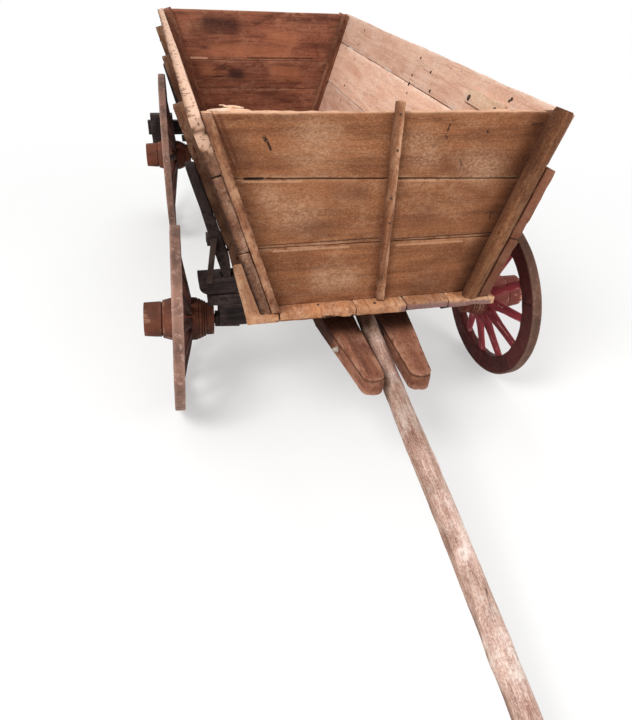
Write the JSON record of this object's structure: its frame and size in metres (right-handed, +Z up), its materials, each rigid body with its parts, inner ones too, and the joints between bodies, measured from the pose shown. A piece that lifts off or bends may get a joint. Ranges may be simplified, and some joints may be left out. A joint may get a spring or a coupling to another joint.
{
  "type": "bullock cart",
  "caption": "Four-wheeled bullock cart: flared plank box with lift-out tailboard, spoked wooden wheels with iron tyres, steering front axle and a hinged draught pole.",
  "frame": {"origin": "on the ground under the kingpin, which is also the middle of the cart's length with its pole down", "axes": "+Z up, +Y to the cart's rear, -Y towards the pole's tip, +X to the right as seen from the front"},
  "size_m": [1.7884, 5.2, 1.3692],
  "materials": {
    "box_wood": "weathered bare planks",
    "round_pole_wood": "rough peeled log",
    "dark_gear_wood": "dark oiled timber",
    "hound_wood": "worn hardwood",
    "old_iron": "old forged iron",
    "rusty_iron": "rusted iron hoop",
    "hub_paint": "worn red-brown paint on turned wood",
    "spoke_paint": "worn crimson paint",
    "felloe_paint": "worn maroon paint"
  },
  "bodies": {
    "root": {"floor_planks": "box_wood", "floor_bearers": "box_wood", "front_board_planks": "box_wood", "front_centre_batten": "box_wood", "front_corner_batten": "box_wood", "front_corner_log": "round_pole_wood", "right_wall_planks": "box_wood", "left_wall_planks": "box_wood", "right_wall_ribs": "box_wood", "left_wall_ribs": "box_wood", "right_wall_patch": "box_wood", "tailboard_guides": "box_wood", "front_bolster": "dark_gear_wood", "front_bolster_stakes": "dark_gear_wood", "stake_struts": "old_iron", "rear_bolster": "dark_gear_wood", "rear_bolster_stakes": "dark_gear_wood", "reach_pole": "dark_gear_wood", "kingpin": "old_iron", "rear_axle_beam": "dark_gear_wood", "rear_axle_arms": "old_iron", "brake_beam": "dark_gear_wood", "brake_shoes": "dark_gear_wood", "brake_hangers": "dark_gear_wood"},
    "front_gear": {"front_axle_beam": "dark_gear_wood", "front_axle_arms": "old_iron", "axle_blocks": "dark_gear_wood", "right_hound": "hound_wood", "left_hound": "hound_wood", "sway_bar": "dark_gear_wood", "pole_pivot_bolt": "old_iron"},
    "pole": {"pole": "round_pole_wood"},
    "tailboard": {"tailboard_planks": "box_wood", "tailboard_battens": "box_wood"},
    "front_left_wheel": {"front_left_hub": "hub_paint", "front_left_spokes": "spoke_paint", "front_left_felloes": "felloe_paint", "front_left_tyre": "rusty_iron"},
    "front_right_wheel": {"front_right_hub": "hub_paint", "front_right_spokes": "spoke_paint", "front_right_felloes": "felloe_paint", "front_right_tyre": "rusty_iron"},
    "rear_left_wheel": {"rear_left_hub": "hub_paint", "rear_left_spokes": "spoke_paint", "rear_left_felloes": "felloe_paint", "rear_left_tyre": "rusty_iron"},
    "rear_right_wheel": {"rear_right_hub": "hub_paint", "rear_right_spokes": "spoke_paint", "rear_right_felloes": "felloe_paint", "rear_right_tyre": "rusty_iron"}
  },
  "joints": [
    {"name": "steering", "type": "hinge", "parent": "root", "child": "front_gear", "pos_m": [0, 0, 0.5], "axis": [0, 0, 1], "range_deg": [-20, 20]},
    {"name": "pole_lift", "type": "hinge", "parent": "front_gear", "child": "pole", "pos_m": [0, -0.4, 0.5], "axis": [-1, 0, 0], "range_deg": [0, 30]},
    {"name": "tailboard_lift", "type": "slide", "parent": "root", "child": "tailboard", "axis": [0, 0, 1], "range_m": [0, 0.7]},
    {"name": "front_left_spin", "type": "hinge", "parent": "front_gear", "child": "front_left_wheel", "pos_m": [-0.751, 0, 0.40057], "axis": [-0.9977, 0.0296, 0.061], "continuous": true},
    {"name": "front_right_spin", "type": "hinge", "parent": "front_gear", "child": "front_right_wheel", "pos_m": [0.751, 0, 0.40057], "axis": [0.9977, 0.0296, 0.061], "continuous": true},
    {"name": "rear_left_spin", "type": "hinge", "parent": "root", "child": "rear_left_wheel", "pos_m": [-0.71291, 1.982, 0.50525], "axis": [-0.9995, 0.0297, 0.014], "continuous": true},
    {"name": "rear_right_spin", "type": "hinge", "parent": "root", "child": "rear_right_wheel", "pos_m": [0.71291, 1.982, 0.50525], "axis": [0.9995, 0.0297, 0.014], "continuous": true}
  ]
}
